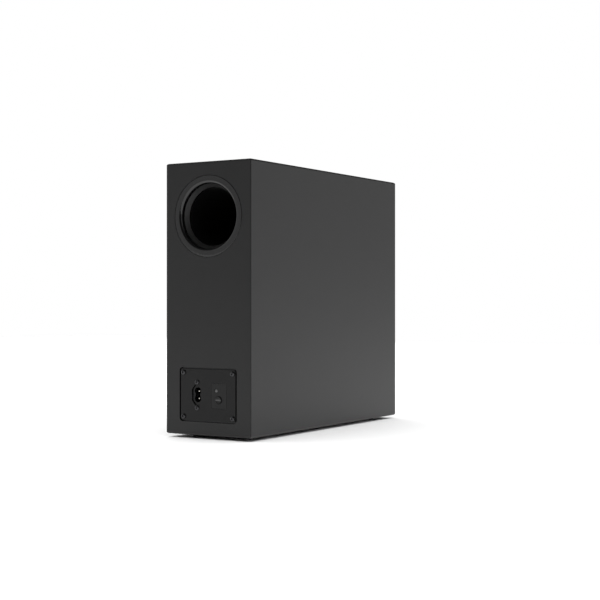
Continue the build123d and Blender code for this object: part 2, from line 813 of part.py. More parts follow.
pin_behind_face = 4.0
pin_tail = 3.5
pin_back = inlet_back - pin_tail
inlet_pins = []
for side in (-1, 1):
    pin_z = inlet_z + side * pin_pitch / 2
    pin = along_y(inlet_x, pin_z, pin_radius, pin_back, half_depth - pin_behind_face)
    tip_edge = pin.edges().sort_by(Axis.Y)[-1]
    inlet_pins.append(fillet(tip_edge, 0.8))
save("inlet_pins", *inlet_pins)

inlet_screws = [
    pan_screw(facing_out(screw_x, half_depth, screw_z), 2.75, 1.5, inlet_screw_shank, 10.0)
    for screw_x, screw_z in inlet_screw_places
]
save("inlet_screws", *inlet_screws)
nut_height = 2.4
nut_shape = RegularPolygon(2.75, 6, major_radius=False)
inlet_nuts = [
    facing_rear(nut_shape, screw_x, screw_z, flange_back - nut_height, flange_back)
    - along_y(screw_x, screw_z, inlet_screw_shank + screw_gap, flange_back - nut_height - 1, flange_back + 1)
    for screw_x, screw_z in inlet_screw_places
]
save("inlet_nuts", *inlet_nuts)

# ---- control module --------------------------------------------------------------------------------------------
# A small bezel with the pairing button and the status light. Two posts carry the wireless board.
bezel_flange = 1.5
bezel_lip = 1.5
post_radius = 2.0
module_board = 1.2
module_width = 22.0
module_height = 34.0
module_front = plate_back - 9.8
module_back = module_front - module_board
bezel_back = plate_back - bezel_flange
bezel_front_shape = RectangleRounded(bezel_width, bezel_height, bezel_corner)
bezel_back_shape = RectangleRounded(bezel_width + 2 * bezel_lip, bezel_height + 2 * bezel_lip, bezel_corner)
control_bezel = facing_rear(bezel_front_shape, bezel_x, bezel_z, plate_back - 0.5, half_depth)
control_bezel += facing_rear(bezel_back_shape, bezel_x, bezel_z, bezel_back, plate_back)
for post_side in (-1, 1):
    post_x = bezel_x + post_side * (bezel_width / 2 - 2.0)
    post_z = bezel_z - post_side * (bezel_height / 2 - 1.0)
    control_bezel += along_y(post_x, post_z, post_radius, module_front, bezel_back + 0.5)
control_bezel -= along_y(button_x, button_z, button_radius + moving_gap, bezel_back - 1, half_depth + 1)
control_bezel -= along_y(light_x, light_z, light_radius + glue_gap, bezel_back - 1, half_depth + 1)
save("control_bezel", control_bezel)

button_collar = 0.9
collar_height = 1.2
stem_radius = 1.5
button_dish = 0.5
cap_top = half_depth + button_proud
collar_front = bezel_back - moving_gap
collar_back = collar_front - collar_height
switch_height = 3.5
plunger_height = 0.6
plunger_radius = 1.7
stem_end = module_front + switch_height + plunger_height + button_travel + glue_gap
button_outline = [
    (0, stem_end),
    (stem_radius, stem_end),
    (stem_radius, collar_back),
    (button_radius + button_collar, collar_back),
    (button_radius + button_collar, collar_front),
    (button_radius, collar_front),
    (button_radius, cap_top - button_dish),
    (button_radius - button_dish, cap_top),
    (0, cap_top),
]
button_place = Location(Plane(origin=(button_x, 0, button_z), x_dir=(1, 0, 0), z_dir=(0, 1, 0)))
save("pair_button", turned(button_outline, button_place))
light_pipe = along_y(light_x, light_z, light_radius, module_front + 1.0, half_depth)
save("led_light_pipe", light_pipe)

switch_half = 3.0
pair_switch = box(
    button_x - switch_half,
    button_x + switch_half,
    module_front,
    module_front + switch_height,
    button_z - switch_half,
    button_z + switch_half,
)
plunger_end = module_front + switch_height + plunger_height
pair_switch += along_y(button_x, button_z, plunger_radius, module_front + switch_height - 0.5, plunger_end)
save("pair_switch", pair_switch)

module_shape = Rectangle(module_width, module_height)
save("wireless_board", facing_rear(module_shape, bezel_x, bezel_z, module_back, module_front))
shield_width = 16.0
shield_height = 20.0
shield_depth = 4.5
shield_wall = 0.4
shield_z = bezel_z + 3.0
shield_front = module_back - shield_depth
shield = facing_rear(Rectangle(shield_width, shield_height), bezel_x, shield_z, shield_front, module_back)
shield_room = Rectangle(shield_width - 2 * shield_wall, shield_height - 2 * shield_wall)
shield -= facing_rear(shield_room, bezel_x, shield_z, shield_front + shield_wall, module_back + 1)
save("wireless_shield", shield)

# ---- amplifier tray and main board -----------------------------------------------------------------------------
# A steel tray staked to the plate slides in through the hole in the rear board and carries the main board.
tray_low = plate_z - cutout_height / 2 + hole_gap
tray_top = tray_low + sheet
tray_front = plate_back - tray_length
tab_half = 3.8
tray = box(-tray_width / 2, tray_width / 2, tray_front, plate_back, tray_low, tray_top)
tab_top = stake_z + 4.0
tray += box(stake_x - tab_half, stake_x + tab_half, plate_back - sheet, plate_back, tray_low, tab_top)
tray -= along_y(stake_x, stake_z, stake_radius + screw_gap, plate_back - sheet - 1, plate_back + 1)
save("chassis_bracket", tray)

board_low = tray_top + standoff
board_top = board_low + circuit_board
board_front = tray_front + 2.0
board_rear = board_front + board_length
main_board = box(-board_width / 2, board_width / 2, board_front, board_rear, board_low, board_top)
standoff_radius = 2.5
board_screw_shank = 1.45
hole_inset_x = 4.0
hole_inset_y = 7.0
board_hole_places = [
    (x_side * (board_width / 2 - hole_inset_x), y)
    for x_side in (-1, 1)
    for y in (board_front + hole_inset_y, board_rear - hole_inset_y)
]
standoffs = []
board_screws = []
for hole_x, hole_y in board_hole_places:
    main_board -= along_z(hole_x, hole_y, board_screw_shank + hole_gap, board_low - 1, board_top + 1)
    post = extrude(Plane.XY.offset(tray_top) * Pos(hole_x, hole_y) * RegularPolygon(standoff_radius, 6), standoff)
    post -= along_z(hole_x, hole_y, board_screw_shank + screw_gap, tray_top + 1, board_low + 1)
    standoffs.append(post)
    board_screws.append(pan_screw(Pos(hole_x, hole_y, board_top), 2.5, 1.6, board_screw_shank, 5.0))
save("main_board", main_board)
save("board_standoffs", *standoffs)
save("board_screws", *board_screws)


def on_board(x, from_front, width, depth, height):
    """A block that stands on the main board, placed by its middle, measured from the board's front edge."""
    y = board_front + from_front
    return box(x - width / 2, x + width / 2, y - depth / 2, y + depth / 2, board_top, board_top + height)


def can_on_board(x, from_front, radius, height):
    """A round part that stands on the main board."""
    return along_z(x, board_front + from_front, radius, board_top, board_top + height)


transformer_x = -12.0
transformer_from_front = 57.0
bobbin_size = (24.0, 14.0, 20.0)
core_size = (16.0, 26.0, 16.0)
bobbin = on_board(transformer_x, transformer_from_front, *bobbin_size)
save("transformer", bobbin + on_board(transformer_x, transformer_from_front, *core_size))

capacitor_x = 10.0
capacitor_radius = 6.25
capacitor_height = 20.0
vent_slot = 0.8
vent_reach = 8.0
bulk_capacitors = []
for from_front in (45, 59):
    can = can_on_board(capacitor_x, from_front, capacitor_radius, capacitor_height)
    vent_place = Pos(capacitor_x, board_front + from_front, board_top + capacitor_height)
    can -= vent_place * (Box(vent_reach, vent_slot, 1.0) + Box(vent_slot, vent_reach, 1.0))
    bulk_capacitors.append(can)
save("bulk_capacitors", *bulk_capacitors)

choke_x = 9.5
choke_from_front = 77.0
choke_ring_radius = 5.5
choke_coil_radius = 3.4
choke_place = Pos(choke_x, board_front + choke_from_front, board_top + choke_coil_radius + glue_gap)
save("mains_filter_choke", choke_place * Torus(choke_ring_radius, choke_coil_radius))
x_capacitor_x = -9.0
x_capacitor_from_front = 81.0
x_capacitor_size = (18.0, 8.0, 13.0)
save("x_capacitor", on_board(x_capacitor_x, x_capacitor_from_front, *x_capacitor_size))

fuse_start_x = -17.0
fuse_from_front = 91.0
fuse_length = 20.0
fuse_radius = 2.2
fuse_cap_radius = 2.6
fuse_cap_length = 5.0
fuse_start = (fuse_start_x, board_front + fuse_from_front, board_top + fuse_cap_radius + 0.6)
fuse_plane = Plane(origin=fuse_start, x_dir=(0, 1, 0), z_dir=(1, 0, 0))
mains_fuse = extrude(fuse_plane * Circle(fuse_radius), fuse_length)
for cap_start in (0, fuse_length - fuse_cap_length):
    mains_fuse += extrude(fuse_plane.offset(cap_start) * Circle(fuse_cap_radius), fuse_cap_length)
save("mains_fuse", mains_fuse)

fin = 1.2
fin_count = 7
sink_x = -8.0
sink_from_front = 20.0
sink_width = 32.0
sink_depth = 14.0
sink_height = 24.0
sink_base = 3.0
heatsink = on_board(sink_x, sink_from_front, sink_width, sink_base, sink_height)
for n in range(fin_count):
    fin_x = sink_x - sink_width / 2 + fin / 2 + n * (sink_width - fin) / (fin_count - 1)
    heatsink += on_board(fin_x, sink_from_front + sink_depth / 2, fin, sink_depth, sink_height)
save("amp_heatsink", heatsink)

inductor_x = 17.0
inductor_side = 10.0
inductor_height = 8.0
inductor_corner = 1.5
output_inductors = []
for from_front in (16, 31):
    coil_block = on_board(inductor_x, from_front, inductor_side, inductor_side, inductor_height)
    output_inductors.append(chamfer(coil_block.edges().filter_by(Axis.Z), inductor_corner))
save("output_inductors", *output_inductors)

speaker_header_x = 6.0
wire_level = board_top + 4.2
speaker_header = on_board(speaker_header_x, 5, 12, 8, 8)
inlet_header_x = 21.5
inlet_header_from_front = 46.0
inlet_header = on_board(inlet_header_x, inlet_header_from_front, 7.6, 10, 7.2)
module_header_x = -22.5
module_header_from_front = 72.0
module_header = on_board(module_header_x, module_header_from_front, 5, 5, 5)
save("board_headers", speaker_header, inlet_header, module_header)

# ---- wires -----------------------------------------------------------------------------------------------------
# Each wire runs the whole way between its two ends and meets them end on.
lead_wire = 2.0
inlet_wire = 1.5
module_cable = 2.4
lug_tip = woofer_y + strip_radius + strip + lug_length - 0.2
lug_x = inner_x + lug_height
header_front = board_front + 1.0
red_lug_z = woofer_z + lug_offset
black_lug_z = woofer_z - lug_offset
red_route = [
    (4.0, header_front, wire_level),
    (4.0, header_front - 16, wire_level),
    (8.0, header_front - 36, wire_level + 14),
    (12.0, 16.0, 80.0),
    (15.5, 15.0, 106.0),
    (lug_x, 14.0, red_lug_z),
    (lug_x, lug_tip, red_lug_z),
]
black_route = [
    (8.0, header_front, wire_level),
    (8.0, header_front - 16, wire_level),
    (11.5, header_front - 36.5, wire_level + 10),
    (15.5, 14.5, 74.0),
    (lug_x + 1.0, 10.5, 98.0),
    (lug_x, 10.0, black_lug_z),
    (lug_x, lug_tip, black_lug_z),
]
save("speaker_wire_red", wire(red_route, lead_wire))
save("speaker_wire_black", wire(black_route, lead_wire))

upper_pin_z = inlet_z + pin_pitch / 2
lower_pin_z = inlet_z - pin_pitch / 2
inlet_header_rear = board_front + inlet_header_from_front + 5
brown_route = [
    (inlet_x, pin_back, upper_pin_z),
    (inlet_x, pin_back - 10.5, upper_pin_z),
    (inlet_x + 6.0, pin_back - 21, upper_pin_z - 5.9),
    (inlet_header_x + 1.8, inlet_header_rear + 9.5, wire_level),
    (inlet_header_x + 1.8, inlet_header_rear, wire_level),
]
blue_route = [
    (inlet_x, pin_back, lower_pin_z),
    (inlet_x, pin_back - 9.5, lower_pin_z),
    (inlet_x + 5.6, pin_back - 19.5, lower_pin_z - 1.5),
    (inlet_header_x - 1.8, inlet_header_rear + 9.5, wire_level),
    (inlet_header_x - 1.8, inlet_header_rear, wire_level),
]
save("inlet_wire_brown", wire(brown_route, inlet_wire))
save("inlet_wire_blue", wire(blue_route, inlet_wire))

module_header_rear = board_front + module_header_from_front + 2.5
cable_level = board_top + 3.2
cable_rise = 1.2
cable_route = [
    (module_header_x, module_back, cable_level + cable_rise),
    (module_header_x, module_back - 9, cable_level + cable_rise),
    (module_header_x, module_back - 18, cable_level),
    (module_header_x, module_header_rear, cable_level),
]
save("module_cable", wire(cable_route, module_cable))
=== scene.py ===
import bmesh
import bpy
import numpy as np
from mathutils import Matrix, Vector


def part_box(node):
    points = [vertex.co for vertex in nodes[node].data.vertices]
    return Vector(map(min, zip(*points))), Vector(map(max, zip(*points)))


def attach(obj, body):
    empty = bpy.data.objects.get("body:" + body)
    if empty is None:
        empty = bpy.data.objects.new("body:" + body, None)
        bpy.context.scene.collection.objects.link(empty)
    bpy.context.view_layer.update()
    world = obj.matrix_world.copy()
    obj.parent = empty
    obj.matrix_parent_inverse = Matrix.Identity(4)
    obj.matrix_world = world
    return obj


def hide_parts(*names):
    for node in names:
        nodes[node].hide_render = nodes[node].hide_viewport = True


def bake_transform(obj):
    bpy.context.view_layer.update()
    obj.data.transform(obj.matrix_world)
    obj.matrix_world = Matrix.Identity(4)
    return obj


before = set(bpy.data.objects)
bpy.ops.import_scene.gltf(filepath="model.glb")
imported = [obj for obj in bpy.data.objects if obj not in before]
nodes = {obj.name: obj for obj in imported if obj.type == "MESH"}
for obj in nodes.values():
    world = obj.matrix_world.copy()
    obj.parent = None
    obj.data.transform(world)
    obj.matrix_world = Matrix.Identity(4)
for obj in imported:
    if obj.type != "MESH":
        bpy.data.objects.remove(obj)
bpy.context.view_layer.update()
MM = 0.001

# ---- Cabinet boards ----------------------------------------------------------------------------------------
# Six 12 mm MDF boards, mitred and glued on every edge, and wrapped in one skin of matt black vinyl before
# folding. The vinyl has a very fine sand grain and hardly any sheen.


def blank_material(name):
    """A new material, its node tree, its shader and the object-space position."""
    material = bpy.data.materials.new(name)
    material.use_nodes = True
    tree = material.node_tree
    place = tree.nodes.new("ShaderNodeTexCoord").outputs["Object"]
    return material, tree, tree.nodes["Principled BSDF"], place


def noise(tree, place, size, detail=3.0):
    """Soft noise from 0 to 1 whose blotches are about size metres wide."""
    node = tree.nodes.new("ShaderNodeTexNoise")
    node.inputs["Scale"].default_value = 1 / size
    node.inputs["Detail"].default_value = detail
    tree.links.new(place, node.inputs["Vector"])
    return node.outputs["Fac"]


def ramped(tree, value, low, high, start=0.3, end=0.7):
    """Carries value, between start and end, over to the span from low to high."""
    node = tree.nodes.new("ShaderNodeMapRange")
    for socket, number in zip(("From Min", "From Max", "To Min", "To Max"), (start, end, low, high)):
        node.inputs[socket].default_value = number
    tree.links.new(value, node.inputs["Value"])
    return node.outputs["Result"]


def blended(tree, value, dark, light):
    """The colour that is value of the way from dark to light."""
    node = tree.nodes.new("ShaderNodeMix")
    node.data_type = "RGBA"
    colours = [socket for socket in node.inputs if socket.type == "RGBA"]
    colours[0].default_value = (*dark, 1)
    colours[1].default_value = (*light, 1)
    tree.links.new(value, node.inputs["Factor"])
    return [socket for socket in node.outputs if socket.type == "RGBA"][0]


def bumped(tree, shader, value, depth):
    """Raises the surface by up to depth metres where value is 1."""
    node = tree.nodes.new("ShaderNodeBump")
    node.inputs["Distance"].default_value = depth
    node.inputs["Strength"].default_value = 1.0
    tree.links.new(value, node.inputs["Height"])
    tree.links.new(node.outputs["Normal"], shader.inputs["Normal"])


def coated(name, colour, drift, roughness, grain, depth, patch=0.06, specular=0.5):
    """A moulded, painted or film-covered surface. Its colour drifts slowly by the share drift, its roughness
    wanders a little, and a grain of the given size stands depth metres proud."""
    material, tree, shader, place = blank_material(name)
    colour = np.array(colour, float)
    slow = noise(tree, place, patch, 2.0)
    fine = noise(tree, place, grain, 4.0)
    tint = blended(tree, ramped(tree, slow, 0, 1), tuple(colour * (1 - drift)), tuple(colour * (1 + drift)))
    tree.links.new(tint, shader.inputs["Base Color"])
    tree.links.new(ramped(tree, fine, roughness - 0.04, roughness + 0.04), shader.inputs["Roughness"])
    bumped(tree, shader, fine, depth)
    shader.inputs["Specular IOR Level"].default_value = specular
    return material


def dress(finish, *names):
    """Gives CAD nodes their finish."""
    for name in names:
        for slot in nodes[name].material_slots:
            slot.material = finish


vinyl = coated("vinyl_wrap", (0.0030, 0.0030, 0.0031), 0.10, 0.38, 0.00045, 0.000010, specular=0.385)
boards = ("front_panel", "rear_panel", "plain_side_panel", "woofer_side_panel", "top_panel", "bottom_panel")
dress(vinyl, *boards)

# ---- Baffle ring and brace inside --------------------------------------------------------------------------
# Sawn MDF, glued in: the ring that the woofer is screwed to is stained black, and the cross board with the
# port's hole is left raw. Both show pressed wood fibres as flecks.


def raw_board(name, colour):
    """Pressed fibre: one stretched noise as flecks, and a matt, slightly furry surface."""
    material, tree, shader, place = blank_material(name)
    stretch = tree.nodes.new("ShaderNodeMapping")
    stretch.inputs["Scale"].default_value = (1.0, 2.5, 2.5)
    tree.links.new(place, stretch.inputs["Vector"])
    flecks = noise(tree, stretch.outputs["Vector"], 0.0016, 5.0)
    colour = np.array(colour)
    tint = blended(tree, ramped(tree, flecks, 0, 1, 0.35, 0.65), tuple(colour * 0.78), tuple(colour * 1.2))
    tree.links.new(tint, shader.inputs["Base Color"])
    shader.inputs["Roughness"].default_value = 0.85
    bumped(tree, shader, flecks, 0.00008)
    return material


dress(raw_board("bare_mdf", (0.36, 0.24, 0.14)), "inner_brace")
dress(raw_board("stained_mdf", (0.012, 0.012, 0.012)), "woofer_sub_baffle")

# ---- Damping wadding ---------------------------------------------------------------------------------------
# A soft mat of white polyester fibre, glued to the inside of the plain side. It is thin at its cut edges and
# lies in shallow lumps.


def shaped(name, verts, faces, sharp=40.0):
    """A closed mesh from arrays of points and of corner numbers. Coincident points are merged, its faces are
    turned outwards by the sign of its volume, and edges sharper than the given angle stay sharp."""
    mesh = bpy.data.meshes.new(name)
    mesh.from_pydata(np.asarray(verts, float).tolist(), [], np.asarray(faces, int).tolist())
    work = bmesh.new()
    work.from_mesh(mesh)
    bmesh.ops.remove_doubles(work, verts=work.verts, dist=2e-7)
    bmesh.ops.dissolve_degenerate(work, edges=work.edges, dist=1e-7)
    if work.calc_volume(signed=True) < 0:
        bmesh.ops.reverse_faces(work, faces=work.faces)
    work.to_mesh(mesh)
    work.free()
    mesh.polygons.foreach_set("use_smooth", np.ones(len(mesh.polygons), bool))
    mesh.set_sharp_from_angle(angle=np.radians(sharp))
    piece = bpy.data.objects.new(name, mesh)
    bpy.context.scene.collection.objects.link(piece)
    return piece


def grid_faces(rows, columns, wrap):
    """The four corner numbers of each face of a grid of points. With wrap the last column joins the first."""
    i, j = np.meshgrid(np.arange(rows - 1), np.arange(columns if wrap else columns - 1), indexing="ij")
    k = (j + 1) % columns
    corners = (i * columns + j, i * columns + k, (i + 1) * columns + k, (i + 1) * columns + j)
    return np.stack(corners, -1).reshape(-1, 4)


def stands_for(piece, body, slot, material, *replaced):
    """Puts a finished piece on its body, with its material, in place of CAD nodes. Its slot is not used."""
    piece.data.materials.append(material)
    if replaced:
        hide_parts(*replaced)
    if body:
        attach(piece, body)
    return piece


def wadding_mat(low, high, rows=90, columns=90):
    """A pillow of two sheets that meet at their edges. With u and v from -1 to 1 across the mat, the half
    thickness is the full one times ((1 - u squared)(1 - v squared)) to the power 0.18. On the front, two
    sines and a seeded scatter lower it into lumps."""
    rng = np.random.default_rng(7)
    u, v = np.meshgrid(np.linspace(-1, 1, rows), np.linspace(-1, 1, columns), indexing="ij")
    edge = np.clip((1 - u**2) * (1 - v**2), 0, 1) ** 0.18
    lumps = 0.82 + 0.07 * np.sin(7 * u + 2 * v) + 0.06 * np.sin(9 * v - 3 * u) + 0.02 * rng.random(u.shape)
    half = (high[0] - low[0]) / 2
    middle = (np.array(low) + np.array(high)) / 2
    y = middle[1] + u * (high[1] - low[1]) / 2
    z = middle[2] + v * (high[2] - low[2]) / 2
    front = np.stack([low[0] + half * (1 + edge * lumps), y, z], -1).reshape(-1, 3)
    back = np.stack([low[0] + half * (1 - 0.98 * edge), y, z], -1).reshape(-1, 3)
    faces = grid_faces(rows, columns, False)
    return np.concatenate([front, back]), np.concatenate([faces, faces[:, ::-1] + len(front)])


def fibre(name, colour):
    """Loose fibre: bright and dark strands from one fine noise, with a soft sheen."""
    material, tree, shader, place = blank_material(name)
    strands = noise(tree, place, 0.0012, 8.0)
    tint = blended(tree, ramped(tree, strands, 0, 1), tuple(0.8 * c for c in colour), colour)
    tree.links.new(tint, shader.inputs["Base Color"])
    shader.inputs["Roughness"].default_value = 0.95
    shader.inputs["Sheen Weight"].default_value = 0.4
    bumped(tree, shader, strands, 0.0006)
    return material


mat = shaped("wadding_mat", *wadding_mat(*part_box("damping_wadding")), sharp=180)
stands_for(mat, "cabinet", "wadding", fibre("wadding", (0.84, 0.84, 0.82)), "damping_wadding")

# ---- Feet --------------------------------------------------------------------------------------------------
# Four moulded rubber discs with a rounded rim and two grip rings underneath. A cross-head screw goes up
# through each one into the bottom board.


def arc(middle_r, middle_h, radius, start, end, count=8):
    """Points on an arc, from the start angle to the end angle in degrees, 0 being outwards and 90 upwards."""
    angle = np.radians(np.linspace(start, end, count))
    return np.stack([middle_r + radius * np.cos(angle), middle_h + radius * np.sin(angle)], -1)


def outline(*stretches):
    """Joins points and arcs to one list of (radius, height) points."""
    return np.concatenate([np.atleast_2d(np.asarray(part, float)) for part in stretches])


AXES = {
    "x": np.array([(0, 1, 0), (0, 0, 1), (1, 0, 0)], float),
    "y": np.array([(0, 0, 1), (1, 0, 0), (0, 1, 0)], float),
    "z": np.array([(1, 0, 0), (0, 1, 0), (0, 0, 1)], float),
}


def turned(points, centre, axis="z", around=96, closed=True):
    """Turns an outline once about an axis through centre: the point (r, h) at angle a stands r cos a and
    r sin a along the two cross directions and h along the axis. A closed outline also joins its ends."""
    points = np.vstack([points, points[:1]]) if closed else points
    angle = np.linspace(0, 2 * np.pi, around, endpoint=False)
    local = np.stack(
        [
            points[:, :1] * np.cos(angle),
            points[:, :1] * np.sin(angle),
            np.repeat(points[:, 1:], around, axis=1),
        ],
        -1,
    )
    return (local @ AXES[axis] + np.array(centre)).reshape(-1, 3), grid_faces(len(points), around, True)


def gathered(*parts):
    """Several pairs of points and faces as one pair."""
    starts = np.cumsum([0] + [len(verts) for verts, faces in parts[:-1]])
    return (
        np.concatenate([verts for verts, faces in parts]),
        np.concatenate([faces + start for (verts, faces), start in zip(parts, starts)]),
    )


def solid_boxes(name):
    """The low and high corners of the box round each separate solid of a CAD node, in a fixed order."""
    work = bmesh.new()
    work.from_mesh(nodes[name].data)
    bmesh.ops.remove_doubles(work, verts=work.verts, dist=1e-6)
    left, found = set(work.verts), []
    while left:
        group, front = set(), {left.pop()}
        while front:
            vert = front.pop()
            group.add(vert)
            near = {edge.other_vert(vert) for edge in vert.link_edges} & left
            left -= near
            front |= near
        co = np.array([vert.co for vert in group])
        found.append((co.min(0), co.max(0)))
    work.free()
    return sorted(found, key=lambda pair: tuple(np.round(pair[0], 4)))


rubber = coated("foot_rubber", (0.012, 0.012, 0.012), 0.15, 0.75, 0.0008, 0.00003)
foot_bore, well, well_depth = 1.7 * MM, 3.5 * MM, 2.2 * MM
ring = 0.7 * MM
foot_parts = []
for low, high in solid_boxes("rubber_feet"):
    radius, height = (high[0] - low[0]) / 2, high[2] - low[2]
    foot_outline = outline(
        (foot_bore, height),
        (foot_bore, well_depth),
        (well, well_depth),
        arc(well + 0.4 * MM, 0.4 * MM, 0.4 * MM, 180, 270, 5),
        (well + 2 * ring, 0),
        arc(well + 2.5 * ring, 0, 0.5 * ring, 180, 0, 7),
        (well + 4 * ring, 0),
        arc(well + 4.5 * ring, 0, 0.5 * ring, 180, 0, 7),
        arc(radius - 1.2 * MM, 1.2 * MM, 1.2 * MM, 270, 360, 9),
        arc(radius - 0.3 * MM, height - 0.3 * MM, 0.3 * MM, 0, 90, 4),
    )
    foot_parts.append(turned(foot_outline, ((low[0] + high[0]) / 2, (low[1] + high[1]) / 2, low[2]), "z", 72))
feet = shaped("feet", *gathered(*foot_parts))
stands_for(feet, "cabinet", "foot_rubber", rubber, "rubber_feet")


def pan_screw(seat, axis, out, head, height, shank, length, slot=1.3 * MM, around=80):
    """A pan-head screw with a cross recess, seated at a point and facing along plus or minus an axis.
    The head's top is height times (1 - 0.42 (r / R)^4), and half the height at its edge. A cross of slots
    with sloping walls, whose floor rises towards its ends, is sunk into it. Skirt, seat, shank and point
    close the shape below."""
    rings = np.concatenate([np.linspace(0, 0.9, 22), np.linspace(0.92, 1.0, 5)]) * head
    angle = np.linspace(0, 2 * np.pi, around, endpoint=False)
    r, a = np.meshgrid(rings, angle, indexing="ij")
    x, y = r * np.cos(a), r * np.sin(a)
    across, along = np.minimum(abs(x), abs(y)), np.maximum(abs(x), abs(y))
    wall = np.clip((slot / 2 - across) / (0.22 * slot), 0, 1)
    end = np.clip((0.62 * head - along) / (0.25 * head), 0, 1)
    share = r / head
    top = height * (1 - 0.42 * share**4) - 0.8 * height * wall * end
    top[-1] = height * 0.5
    skirt = outline((head, 0.12 * height), (head * 0.97, 0))
    below = outline(skirt, (shank, 0), (shank, 0.6 * MM - length), (0, -length))
    r = np.vstack([r, np.repeat(below[:, :1], around, 1)])
    h = np.vstack([top, np.repeat(below[:, 1:], around, 1)])
    a = np.vstack([a, np.repeat(angle[None], len(below), 0)])
    local = np.stack([r * np.cos(a), out * r * np.sin(a), out * h], -1)
    return (local @ AXES[axis] + np.array(seat)).reshape(-1, 3), grid_faces(len(r), around, True)


def plated(name, colour, roughness, scratch=0.0004):
    """Plated metal: full metal colour with fine scratches, and slow patches slightly darker and brighter."""
    material, tree, shader, place = blank_material(name)
    shader.inputs["Metallic"].default_value = 1.0
    fine = noise(tree, place, scratch, 6.0)
    slow = noise(tree, place, 0.004, 2.0)
    colour = np.array(colour)
    tint = blended(tree, ramped(tree, slow, 0, 1), tuple(colour * 0.88), tuple(np.minimum(colour * 1.12, 1)))
    tree.links.new(tint, shader.inputs["Base Color"])
    tree.links.new(ramped(tree, fine, roughness - 0.06, roughness + 0.06), shader.inputs["Roughness"])
    bumped(tree, shader, fine, 0.000006)
    return material


black_screw = plated("black_zinc", (0.065, 0.065, 0.068), 0.34)
foot_screw_parts = [
    pan_screw(
        ((lo[0] + hi[0]) / 2, (lo[1] + hi[1]) / 2, well_depth),
        "z", -1, head=3.3 * MM, height=1.6 * MM, shank=1.5 * MM, length=10 * MM,
    )
    for lo, hi in solid_boxes("foot_screws")
]
foot_screws = shaped("foot_screw_set", *gathered(*foot_screw_parts))
stands_for(foot_screws, "cabinet", "black_zinc", black_screw, "foot_screws")

# ---- Reflex port -------------------------------------------------------------------------------------------
# A black tube in two glossy black ABS mouldings. The rear one is flush in a step of the rear board: its rim
# turns in with a small round, and a cone leads from there in to the bore. The front one is a rounded mouth.
port_black, band_black = (0.0022, 0.0022, 0.0023), (0.006, 0.006, 0.006)
port_plastic = coated("port_plastic", port_black, 0.06, 0.17, 0.0006, 0.000003)


def banded(name, gloss, matt, low, high):
    """Glossy plastic with one duller, matt band, where the position along Y is between low and high."""
    material, tree, shader, place = blank_material(name)
    parted = tree.nodes.new("ShaderNodeSeparateXYZ")
    tree.links.new(place, parted.inputs["Vector"])
    into = ramped(tree, parted.outputs["Y"], 0, 1, low, low + 0.3 * MM)
    out_of = ramped(tree, parted.outputs["Y"], 1, 0, high - 0.3 * MM, high)
    both = tree.nodes.new("ShaderNodeMath")
    both.operation = "MULTIPLY"
    tree.links.new(into, both.inputs[0])
    tree.links.new(out_of, both.inputs[1])
    tree.links.new(blended(tree, both.outputs[0], gloss, matt), shader.inputs["Base Color"])
    tree.links.new(ramped(tree, both.outputs[0], 0.12, 0.48, 0, 1), shader.inputs["Roughness"])
    bumped(tree, shader, noise(tree, place, 0.0006, 4.0), 0.000003)
    return material


tube_low, tube_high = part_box("port_tube")
port_x, port_z = (tube_low.x + tube_high.x) / 2, (tube_low.z + tube_high.z) / 2
flare_low, flare_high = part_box("port_flare")
flange_radius = (flare_high.x - flare_low.x) / 2
mouth_round, lip, wall = 3.4 * MM, 3 * MM, 2.5 * MM
lead_in, lead_in_start, lead_in_end = 4.3 * MM, 6 * MM, 10.9 * MM
tube_radius = (tube_high.x - tube_low.x) / 2
bore = tube_radius - wall
collar = bore + lead_in
sleeve_start, sleeve_end = flare_high.y - tube_high.y, flare_high.y - flare_low.y
sleeve_bore, sleeve_outer = tube_radius + 0.1 * MM, tube_radius + 0.1 * MM + wall
flare_outline = outline(
    arc(collar + mouth_round, -mouth_round, mouth_round, 90, 180, 40),
    (collar, -lead_in_start + 0.4 * MM),
    (collar - 0.25 * MM, -lead_in_start - 0.25 * MM),
    (bore + 0.25 * MM, -lead_in_end + 0.3 * MM),
    (bore, -lead_in_end - 0.4 * MM),
    (bore, -sleeve_start),
    (sleeve_bore, -sleeve_start),
    (sleeve_bore, -sleeve_end),
    (sleeve_outer, -sleeve_end),
    (sleeve_outer, -lead_in_end),
    (collar + wall, -lead_in_start),
    (collar + wall, -lip),
    (flange_radius - 0.2 * MM, -lip),
    arc(flange_radius - 0.35 * MM, -0.35 * MM, 0.35 * MM, 0, 90, 6),
)
flare = shaped("port_mouth", *turned(flare_outline, (port_x, flare_high.y, port_z), "y", 256), sharp=35)
cone_low_y, cone_high_y = flare_high.y - lead_in_end - 0.1 * MM, flare_high.y - lead_in_start + 0.1 * MM
flare_finish = banded("port_flare_plastic", port_black, band_black, cone_low_y, cone_high_y)
stands_for(flare, "cabinet", "port_plastic", flare_finish, "port_flare")

tube_outline = outline(
    (bore, tube_low.y),
    (tube_radius, tube_low.y),
    (tube_radius, tube_high.y),
    (bore, tube_high.y),
)
tube = shaped("port_pipe", *turned(tube_outline, (port_x, 0, port_z), "y", 192), sharp=35)
tube_black = coated("port_tube_black", (0.0012, 0.0012, 0.0012), 0.06, 0.45, 0.0006, 0.00001)
stands_for(tube, "cabinet", "port_plastic", tube_black, "port_tube")

end_low, end_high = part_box("port_inner_flare")
end_round = 7 * MM
end_outline = outline(
    arc(bore + end_round, end_low.y + end_round, end_round, 180, 270, 24),
    (bore + end_round, end_low.y + wall),
    (sleeve_outer, end_low.y + wall),
    (sleeve_outer, end_high.y),
    (sleeve_bore, end_high.y),
    (sleeve_bore, tube_low.y),
    (bore, tube_low.y),
)
inner_flare = shaped("port_inner_mouth", *turned(end_outline, (port_x, 0, port_z), "y", 192), sharp=35)
stands_for(inner_flare, "cabinet", "port_plastic", port_plastic, "port_inner_flare")

